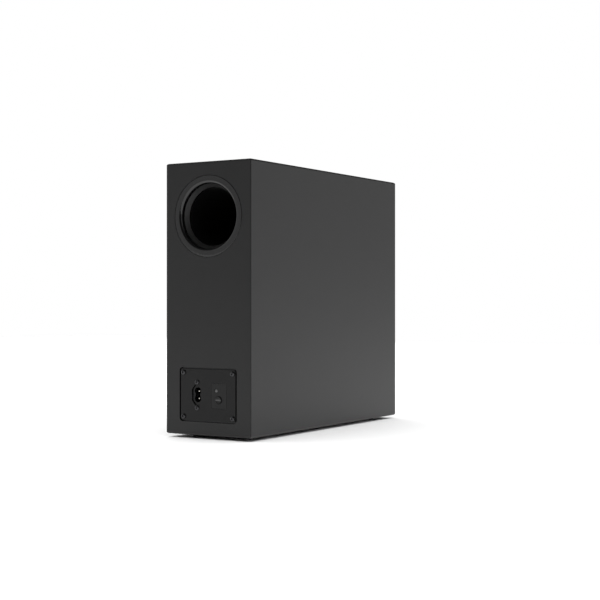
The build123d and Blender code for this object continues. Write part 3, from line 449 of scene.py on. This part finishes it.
# ---- Woofer frame and motor --------------------------------------------------------------------------------
# A pressed steel basket, powder coated, carries the suspension. Its motor is a ferrite ring between two
# soft iron plates under a steel can.
powder_coat = coated("basket_steel", (0.015, 0.015, 0.015), 0.1, 0.5, 0.0009, 0.00003)
dress(powder_coat, "woofer_basket", "magnet_cover")
foam = coated("foam_gasket", (0.02, 0.02, 0.02), 0.2, 0.95, 0.0006, 0.0002)
dress(foam, "woofer_gasket", "plate_gasket")
dress(plated("motor_steel", (0.55, 0.56, 0.58), 0.38), "top_plate", "yoke")
ferrite = coated("ferrite", (0.05, 0.05, 0.052), 0.2, 0.7, 0.0015, 0.00006)
dress(ferrite, "magnet", "mains_filter_choke")


def ridged_with_painted_shade(name, colour, roughness, pitch, depth, metallic, direction="X"):
    """Wire or thread laid side by side: ridges one pitch apart across one direction, with painted shade
    between them and painted light on their crests.
    At a scale of 1 the wave texture repeats every 0.314 m."""
    material, tree, shader, place = blank_material(name)
    ridges = tree.nodes.new("ShaderNodeTexWave")
    ridges.bands_direction = direction
    ridges.inputs["Scale"].default_value = 0.314 / pitch
    ridges.inputs["Distortion"].default_value = 0.2
    tree.links.new(place, ridges.inputs["Vector"])
    colour = np.array(colour)
    # Painted shade and light: the colour is darkest in the troughs between ridges and lightest on their
    # crests, in step with the bump.
    tint = blended(tree, ridges.outputs["Fac"], tuple(colour * 0.6), tuple(np.minimum(colour * 1.15, 1)))
    tree.links.new(tint, shader.inputs["Base Color"])
    shader.inputs["Metallic"].default_value = metallic
    shader.inputs["Roughness"].default_value = roughness
    bumped(tree, shader, ridges.outputs["Fac"], depth)
    return material


dress(plated("coil_former", (0.75, 0.75, 0.77), 0.3), "voice_coil_former")
dress(ridged_with_painted_shade("copper_winding", (0.65, 0.27, 0.12), 0.3, 0.4 * MM, 0.1 * MM, 1.0), "voice_coil_winding")
dress(ridged_with_painted_shade("strip_board", (0.30, 0.16, 0.06), 0.5, 1.2 * MM, 0.02 * MM, 0.0), "terminal_strip")

# ---- Woofer suspension and cone ----------------------------------------------------------------------------
# A black paper cone with pressed ribs hangs in a butyl rubber half roll at its rim and in a corrugated cloth
# spider at its neck. A domed cap is glued over the coil, and a moulded ring covers the roll's outer lip.
cone_low, cone_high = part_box("woofer_cone")
cap_low, cap_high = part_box("dust_cap")
frame_low, frame_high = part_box("woofer_basket")
roll_low, roll_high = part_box("woofer_surround")
trim_low, trim_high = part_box("woofer_trim_ring")
woofer_centre = (0, (frame_low.y + frame_high.y) / 2, (frame_low.z + frame_high.z) / 2)
cone_radius = (cone_high.y - cone_low.y) / 2
rim_x = cone_high.x
paper = 1.0 * MM
neck_radius = 19.75 * MM
neck_x = cone_low.x + 1.25 * paper
rim_width = 4 * MM
rim_inner = cone_radius - rim_width
rib_count, rib_height = 5, 0.32 * MM


def cone_face(r):
    """The cone's front: a straight slope with shallow pressed ribs. Five would fit between its neck and its
    rim, and the inner two are faded out."""
    share = (r - neck_radius) / (rim_inner - neck_radius)
    wave = np.clip(np.sin(share * rib_count * np.pi * 2), 0, 1)
    ribs = rib_height * wave * np.clip(8 * (share - 0.28), 0, 1)
    return neck_x + (rim_x - neck_x) * share + ribs * np.clip(10 * (1 - share), 0, 1)


slope_r = np.linspace(neck_radius, rim_inner, 120)
front = np.stack([slope_r, cone_face(slope_r)], -1)
cone_outline = outline(
    front,
    (cone_radius - 0.2 * MM, rim_x),
    (cone_radius, rim_x - 0.2 * MM),
    (cone_radius, rim_x - paper),
    (rim_inner + 0.5 * MM, rim_x - paper),
    front[::-6] - (0, 1.2 * paper),
)
cone_paper = coated("cone_paper", (0.017, 0.017, 0.0175), 0.12, 0.62, 0.0011, 0.00005, patch=0.02)
cone = shaped("paper_cone", *turned(cone_outline, woofer_centre, "x", 192), sharp=50)
stands_for(cone, "cone_assembly", "cone_paper", cone_paper, "woofer_cone")

cap_radius, cap_rise, cap_wall = (cap_high.y - cap_low.y) / 2, cap_high.x - cap_low.x, 0.8 * MM
ball = (cap_radius**2 + cap_rise**2) / (2 * cap_rise)
dome_r = np.linspace(0, cap_radius, 40)
dome_x = cap_high.x - ball + np.sqrt(ball**2 - dome_r**2)
dome = np.stack([dome_r, dome_x], -1)
glue_bead = arc(cap_radius, cap_low.x + 0.5 * MM, 0.6 * MM, 80, -90, 7)
cap_outline = outline(dome, glue_bead, (dome - (0, cap_wall))[::-1])
cap = shaped("dome_cap", *turned(cap_outline, woofer_centre, "x", 144, closed=False), sharp=60)
cap_paper = coated("dust_cap_paper", (0.015, 0.015, 0.0155), 0.1, 0.5, 0.0009, 0.00003)
stands_for(cap, "cone_assembly", "cone_paper", cap_paper, "dust_cap")


def flexes(piece):
    """Bakes the ring's placement into its points and reads them."""
    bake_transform(piece)
    co = np.zeros(3 * len(piece.data.vertices), np.float32)
    piece.data.vertices.foreach_get("co", co)
    co = co.reshape(-1, 3)


flange_x = roll_low.x
roll_inner = cone_radius + 0.3 * MM
roll_outer = roll_inner + 10.8 * MM
roll_middle, roll_radius = (roll_inner + roll_outer) / 2, (roll_outer - roll_inner) / 2
lip_outer, skin = (roll_high.y - roll_low.y) / 2, 1.0 * MM
inner_lip = 3.0 * MM
surround_outline = outline(
    arc(roll_inner - inner_lip, rim_x + 0.5 * MM, 0.4 * MM, 270, 90, 5),
    (roll_inner - 0.8 * MM, rim_x + 0.9 * MM),
    arc(roll_middle, flange_x + 0.3 * MM, roll_radius, 165, 8, 40),
    (roll_outer + 0.5 * MM, flange_x + skin),
    (lip_outer, flange_x + skin),
    (lip_outer, flange_x),
    (roll_outer - 0.2 * MM, flange_x),
    arc(roll_middle, flange_x + 0.3 * MM, roll_radius - skin, 2, 168, 30),
    (roll_inner + 0.1 * MM, rim_x + 0.1 * MM),
)
butyl = coated("surround_rubber", (0.0135, 0.0135, 0.0138), 0.1, 0.42, 0.0007, 0.000008)
surround = shaped("half_roll", *turned(surround_outline, woofer_centre, "x", 192), sharp=60)
stands_for(surround, None, "surround_rubber", butyl, "woofer_surround")
flexes(surround)

trim_outer, trim_inner = (trim_high.y - trim_low.y) / 2, roll_outer + 0.9 * MM
trim_outline = outline(
    (trim_outer, trim_low.x),
    arc(trim_outer - 0.9 * MM, trim_high.x - 0.9 * MM, 0.9 * MM, 0, 90, 8),
    arc(trim_inner + 0.7 * MM, trim_high.x - 0.7 * MM, 0.7 * MM, 90, 180, 7),
    (trim_inner, trim_low.x),
)
trim = shaped("trim_ring", *turned(trim_outline, woofer_centre, "x", 192), sharp=50)
trim_plastic = coated("trim_plastic", (0.011, 0.011, 0.0112), 0.06, 0.28, 0.0005, 0.000005)
stands_for(trim, "cabinet", "trim_plastic", trim_plastic, "woofer_trim_ring")

spider_low, spider_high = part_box("spider")
spider_inner, spider_outer = neck_radius, (spider_high.y - spider_low.y) / 2
spider_middle = (spider_low.x + spider_high.x) / 2
spider_r = np.linspace(spider_inner, spider_outer, 90)
fade = np.clip((spider_outer - spider_r) / (4 * MM), 0, 1)
wave_height, half_waves = 0.6 * MM, 11
spider_share = (spider_r - spider_inner) / (spider_outer - spider_inner)
spider_wave = wave_height * np.sin(spider_share * half_waves * np.pi) * fade
spider_face = np.stack([spider_r, spider_middle + spider_wave], -1)
spider_outline = outline(spider_face + (0, 0.25 * MM), (spider_face - (0, 0.25 * MM))[::-1])
spider_cloth = ridged_with_painted_shade("spider_cloth", (0.50, 0.33, 0.12), 0.85, 0.7 * MM, 0.08 * MM, 0.0, "Y")
spider = shaped("cloth_spider", *turned(spider_outline, woofer_centre, "x", 128), sharp=60)
stands_for(spider, None, "spider_cloth", spider_cloth, "spider")
flexes(spider)

leads = bpy.data.objects.new("lead_pair", nodes["tinsel_leads"].data.copy())
bpy.context.scene.collection.objects.link(leads)
leads.data.materials.clear()
lead_mesh = bmesh.new()
lead_mesh.from_mesh(leads.data)
bmesh.ops.remove_doubles(lead_mesh, verts=lead_mesh.verts, dist=0.01 * MM)
lead_mesh.to_mesh(leads.data)
lead_mesh.free()
braid = ridged_with_painted_shade("tinsel_braid", (0.60, 0.30, 0.15), 0.45, 0.5 * MM, 0.08 * MM, 1.0, "Y")
stands_for(leads, None, "tinsel_braid", braid, "tinsel_leads")
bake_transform(leads)

woofer_screw_parts = [
    pan_screw(
        (frame_high.x, (lo[1] + hi[1]) / 2, (lo[2] + hi[2]) / 2),
        "x", 1, head=3.6 * MM, height=2.2 * MM, shank=1.9 * MM, length=10 * MM,
    )
    for lo, hi in solid_boxes("woofer_screws")
]
woofer_screws = shaped("woofer_screw_set", *gathered(*woofer_screw_parts))
stands_for(woofer_screws, "cabinet", "black_zinc", black_screw, "woofer_screws")

# ---- Amplifier plate ---------------------------------------------------------------------------------------
# A flat black ABS moulding with a fine spark texture, flush in the rear board's rebate on a foam gasket. Four
# raised pan-head screws hold it.
plate_plastic = coated("plate_plastic", (0.0035, 0.0035, 0.0036), 0.08, 0.42, 0.0005, 0.00002, specular=0.24)
dress(plate_plastic, "amp_plate")
face_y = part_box("amp_plate")[1].y


def rear_screws(name, node, head, height, shank, length):
    """The screws of a node whose heads face the rear and stand on the plate's face."""
    parts = [
        pan_screw(((lo[0] + hi[0]) / 2, face_y, (lo[2] + hi[2]) / 2), "y", 1, head, height, shank, length)
        for lo, hi in solid_boxes(node)
    ]
    return stands_for(shaped(name, *gathered(*parts)), "cabinet", "black_zinc", black_screw, node)


rear_screws(
    "plate_screw_set", "plate_screws", head=2.85 * MM, height=1.7 * MM, shank=1.4 * MM, length=10 * MM
)
rear_screws(
    "inlet_screw_set", "inlet_screws", head=2.75 * MM, height=1.5 * MM, shank=1.5 * MM, length=10 * MM
)

# ---- Mains inlet -------------------------------------------------------------------------------------------
# A black thermoplastic two-pin inlet, pushed in from behind. Its pins are plated brass, and each of its two
# screws has a nut behind the plate.
inlet_plastic = coated("inlet_plastic", (0.0032, 0.0032, 0.0033), 0.05, 0.36, 0.0004, 0.000006, specular=0.24)
dress(inlet_plastic, "mains_inlet")
dress(plated("pin_brass", (0.50, 0.48, 0.43), 0.24), "inlet_pins", "board_standoffs")
zinc = plated("zinc_steel", (0.68, 0.69, 0.71), 0.32)
dress(zinc, "inlet_nuts", "board_screws", "chassis_bracket")

# ---- Control module ----------------------------------------------------------------------------------------
# A slightly paler satin bezel holds a frosted light pipe and a domed push button with a plain printed dash.
# Behind it are the button's switch and the wireless board with its tin shield.
bezel_plastic = coated("bezel_plastic", (0.0045, 0.0045, 0.0046), 0.05, 0.34, 0.0004, 0.000004, specular=0.25)
dress(bezel_plastic, "control_bezel")
button_low, button_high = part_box("pair_button")
button_x, button_z = (button_low.x + button_high.x) / 2, (button_low.z + button_high.z) / 2
collar_radius = (button_high.x - button_low.x) / 2
button_radius, stem, collar, dish = collar_radius - 0.9 * MM, 1.5 * MM, 1.2 * MM, 0.25 * MM
collar_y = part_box("control_bezel")[1].y - 3.8 * MM
top_y = button_high.y
shallow_r = np.linspace(0, button_radius - 0.7 * MM, 12)
shallow = np.stack([shallow_r, top_y - 0.02 * MM - dish * (1 - (shallow_r / button_radius) ** 2)], -1)
button_outline = outline(
    shallow,
    arc(button_radius - 0.6 * MM, top_y - 0.6 * MM, 0.6 * MM, 90, 0, 10),
    (button_radius, collar_y),
    (collar_radius, collar_y),
    (collar_radius, collar_y - collar),
    (stem, collar_y - collar),
    (stem, button_low.y + 0.3 * MM),
    (stem - 0.3 * MM, button_low.y),
    (0, button_low.y),
)


def printed_cap(name, colour, ink, half_width, half_height):
    """Satin plastic with one plain printed dash at the button's middle, its edges a tenth of a millimetre
    soft."""
    material, tree, shader, place = blank_material(name)
    centred = tree.nodes.new("ShaderNodeMapping")
    centred.inputs["Location"].default_value = (-button_x, 0, -button_z)
    tree.links.new(place, centred.inputs["Vector"])
    parted = tree.nodes.new("ShaderNodeSeparateXYZ")
    tree.links.new(centred.outputs["Vector"], parted.inputs["Vector"])
    masks = []
    for letter, half in (("X", half_width), ("Z", half_height)):
        size = tree.nodes.new("ShaderNodeMath")
        size.operation = "ABSOLUTE"
        tree.links.new(parted.outputs[letter], size.inputs[0])
        masks.append(ramped(tree, size.outputs[0], 1, 0, half - 0.05 * MM, half + 0.05 * MM))
    both = tree.nodes.new("ShaderNodeMath")
    both.operation = "MULTIPLY"
    tree.links.new(masks[0], both.inputs[0])
    tree.links.new(masks[1], both.inputs[1])
    tree.links.new(blended(tree, both.outputs[0], colour, ink), shader.inputs["Base Color"])
    fine = noise(tree, place, 0.0004, 4.0)
    tree.links.new(ramped(tree, fine, 0.30, 0.38), shader.inputs["Roughness"])
    bumped(tree, shader, fine, 0.000004)
    shader.inputs["Specular IOR Level"].default_value = 0.25
    return material


button_finish = printed_cap("button_plastic", (0.003, 0.003, 0.0031), (0.06, 0.06, 0.06), 3.6 * MM, 0.75 * MM)
button_turned = turned(button_outline, (button_x, 0, button_z), "y", 96, closed=False)
button = shaped("push_button", *button_turned, sharp=40)
stands_for(button, "pair_button", "button_plastic", button_finish, "pair_button")


def frosted(name, colour):
    """Frosted grey plastic with a faint grain. It is unlit."""
    material, tree, shader, place = blank_material(name)
    fine = noise(tree, place, 0.0003, 3.0)
    tree.links.new(blended(tree, fine, tuple(0.9 * c for c in colour), colour), shader.inputs["Base Color"])
    shader.inputs["Roughness"].default_value = 0.3
    bumped(tree, shader, fine, 0.00001)
    return material


pipe_low, pipe_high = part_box("led_light_pipe")
pipe_radius = (pipe_high.x - pipe_low.x) / 2
lens = np.stack([np.linspace(0, pipe_radius, 12), pipe_high.y - 0.45 * MM * np.linspace(0, 1, 12) ** 2], -1)
pipe_outline = outline(lens, (pipe_radius, pipe_low.y), (0, pipe_low.y))
pipe_centre = ((pipe_low.x + pipe_high.x) / 2, 0, (pipe_low.z + pipe_high.z) / 2)
light_pipe = shaped("light_lens", *turned(pipe_outline, pipe_centre, "y", 64, closed=False), sharp=50)
stands_for(light_pipe, "cabinet", "light_pipe", frosted("light_pipe", (0.08, 0.08, 0.08)), "led_light_pipe")

dress(coated("switch_body", (0.03, 0.03, 0.03), 0.1, 0.4, 0.0005, 0.00001), "pair_switch")
dress(plated("shield_tin", (0.72, 0.73, 0.74), 0.35), "wireless_shield")

# ---- Amplifier board ---------------------------------------------------------------------------------------
# A zinc-plated tray, staked to the plate, carries a green board on brass standoffs, with the power supply's
# parts at the rear and the amplifier's at the front.


def printed_board(name, mask, track):
    """Green lacquer over copper: blocks of lighter tracks from a brick pattern, softly bumped."""
    material, tree, shader, place = blank_material(name)
    tracks = tree.nodes.new("ShaderNodeTexBrick")
    tracks.inputs["Scale"].default_value = 120.0
    tracks.inputs["Mortar Size"].default_value = 0.06
    tracks.inputs["Color1"].default_value = (*mask, 1)
    tracks.inputs["Color2"].default_value = (*(0.9 * c for c in mask), 1)
    tracks.inputs["Mortar"].default_value = (*track, 1)
    tree.links.new(place, tracks.inputs["Vector"])
    tree.links.new(tracks.outputs["Color"], shader.inputs["Base Color"])
    shader.inputs["Roughness"].default_value = 0.3
    bumped(tree, shader, tracks.outputs["Fac"], 0.00003)
    return material


dress(printed_board("circuit_board", (0.012, 0.10, 0.04), (0.03, 0.19, 0.08)), "wireless_board", "main_board")
dress(ridged_with_painted_shade("transformer_core", (0.42, 0.30, 0.06), 0.5, 4 * MM, 0.02 * MM, 0.0, "Y"), "transformer")
dress(coated("capacitor_sleeve", (0.012, 0.016, 0.05), 0.1, 0.25, 0.002, 0.00001), "bulk_capacitors")
dress(coated("film_capacitor", (0.55, 0.40, 0.05), 0.06, 0.3, 0.002, 0.00001), "x_capacitor")
dress(coated("fuse_glass", (0.62, 0.66, 0.68), 0.05, 0.12, 0.003, 0.000004), "mains_fuse")
dress(ridged_with_painted_shade("heatsink_black", (0.03, 0.03, 0.032), 0.45, 0.8 * MM, 0.01 * MM, 0.6, "Z"), "amp_heatsink")
dress(coated("inductor_block", (0.06, 0.06, 0.063), 0.1, 0.6, 0.001, 0.00004), "output_inductors")
dress(coated("header_nylon", (0.72, 0.69, 0.60), 0.04, 0.4, 0.001, 0.00001), "board_headers")

# ---- Wires -------------------------------------------------------------------------------------------------
# Stranded wires in coloured PVC: two to the woofer, two from the inlet, and a grey cable to the wireless
# board.
wire_colours = {
    "speaker_wire_red": ("red_insulation", (0.45, 0.015, 0.012)),
    "speaker_wire_black": ("black_insulation", (0.012, 0.012, 0.012)),
    "inlet_wire_brown": ("brown_insulation", (0.13, 0.05, 0.02)),
    "inlet_wire_blue": ("blue_insulation", (0.015, 0.08, 0.40)),
    "module_cable": ("cable_jacket", (0.16, 0.16, 0.165)),
}
for wire, (sleeve, colour) in wire_colours.items():
    dress(coated(sleeve, colour, 0.08, 0.35, 0.001, 0.00001), wire)

# ---- Floor, light and camera -------------------------------------------------------------------------------
# A white floor under one large, even overhead lamp, a bright panel on each side of the cabinet and dimmer
# above. The camera stands level with the cabinet's middle, behind it and towards its plain side.
floor_half = 3.0
floor_mesh = bpy.data.meshes.new("floor")
corners = [(x * floor_half, y * floor_half, 0) for x, y in ((-1, -1), (1, -1), (1, 1), (-1, 1))]
floor_mesh.from_pydata(corners, [], [(0, 1, 2, 3)])
floor = bpy.data.objects.new("floor", floor_mesh)
bpy.context.scene.collection.objects.link(floor)
floor_paint, _, floor_shader, _ = blank_material("floor_paint")
floor_shader.inputs["Base Color"].default_value = (0.86, 0.86, 0.86, 1)
floor_shader.inputs["Roughness"].default_value = 0.6
floor_shader.inputs["Specular IOR Level"].default_value = 0.2
floor_mesh.materials.append(floor_paint)

world = bpy.data.worlds.new("studio")
bpy.context.scene.world = world
world.use_nodes = True
sky = world.node_tree
direction = sky.nodes.new("ShaderNodeTexCoord").outputs["Generated"]


def toward(x, y, z):
    """How far a ray points towards a direction, from -1 to 1."""
    node = sky.nodes.new("ShaderNodeVectorMath")
    node.operation = "DOT_PRODUCT"
    node.inputs[1].default_value = Vector((x, y, z)).normalized()
    sky.links.new(direction, node.inputs[0])
    return node.outputs["Value"]


def combined(operation, first, second):
    """Two numbers, or sockets, put together."""
    node = sky.nodes.new("ShaderNodeMath")
    node.operation = operation
    for socket, value in zip(node.inputs, (first, second)):
        if isinstance(value, (int, float)):
            socket.default_value = value
        else:
            sky.links.new(value, socket)
    return node.outputs[0]


left_panel = ramped(sky, toward(0.996, 0.087, 0), low=0, high=0.74, start=0.36, end=0.50)
right_panel = ramped(sky, toward(-0.927, -0.375, 0), low=0, high=1.40, start=0.45, end=1.0)
panels = combined("MAXIMUM", left_panel, right_panel)
below_ceiling = ramped(sky, toward(0, 0, 1), low=1, high=0.3, start=0.45, end=0.80)
room = combined("MAXIMUM", combined("MULTIPLY", panels, below_ceiling), 0.05)
seen = sky.nodes.new("ShaderNodeLightPath").outputs["Is Camera Ray"]
sky.nodes["Background"].inputs["Color"].default_value = (1, 1, 1, 1)
sky.links.new(combined("MAXIMUM", room, seen), sky.nodes["Background"].inputs["Strength"])

lamp = bpy.data.lights.new("overhead", "AREA")
lamp.shape = "DISK"
lamp.size = 12.0
lamp.energy = 740.0
overhead = bpy.data.objects.new("overhead", lamp)
overhead.location = (0, 0, 3.5)
overhead.visible_glossy = False
overhead.visible_camera = False
bpy.context.scene.collection.objects.link(overhead)

bpy.context.scene.view_settings.view_transform = "Standard"
bpy.context.scene.view_settings.look = "None"

camera_data = bpy.data.cameras.new("camera")
camera_data.lens = 76.5
camera_data.sensor_width = 36.0
camera = bpy.data.objects.new("camera", camera_data)
bpy.context.scene.collection.objects.link(camera)
cabinet_corner = Vector((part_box("rear_panel")[0].x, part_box("rear_panel")[1].y, 0))
camera.location = cabinet_corner + Vector((-0.8013, 1.2008, 0.1613))
looking = Vector((0.5226, -0.8526, 0.0))
camera.rotation_mode = "QUATERNION"
camera.rotation_quaternion = looking.to_track_quat("-Z", "Y")
bpy.context.scene.camera = camera
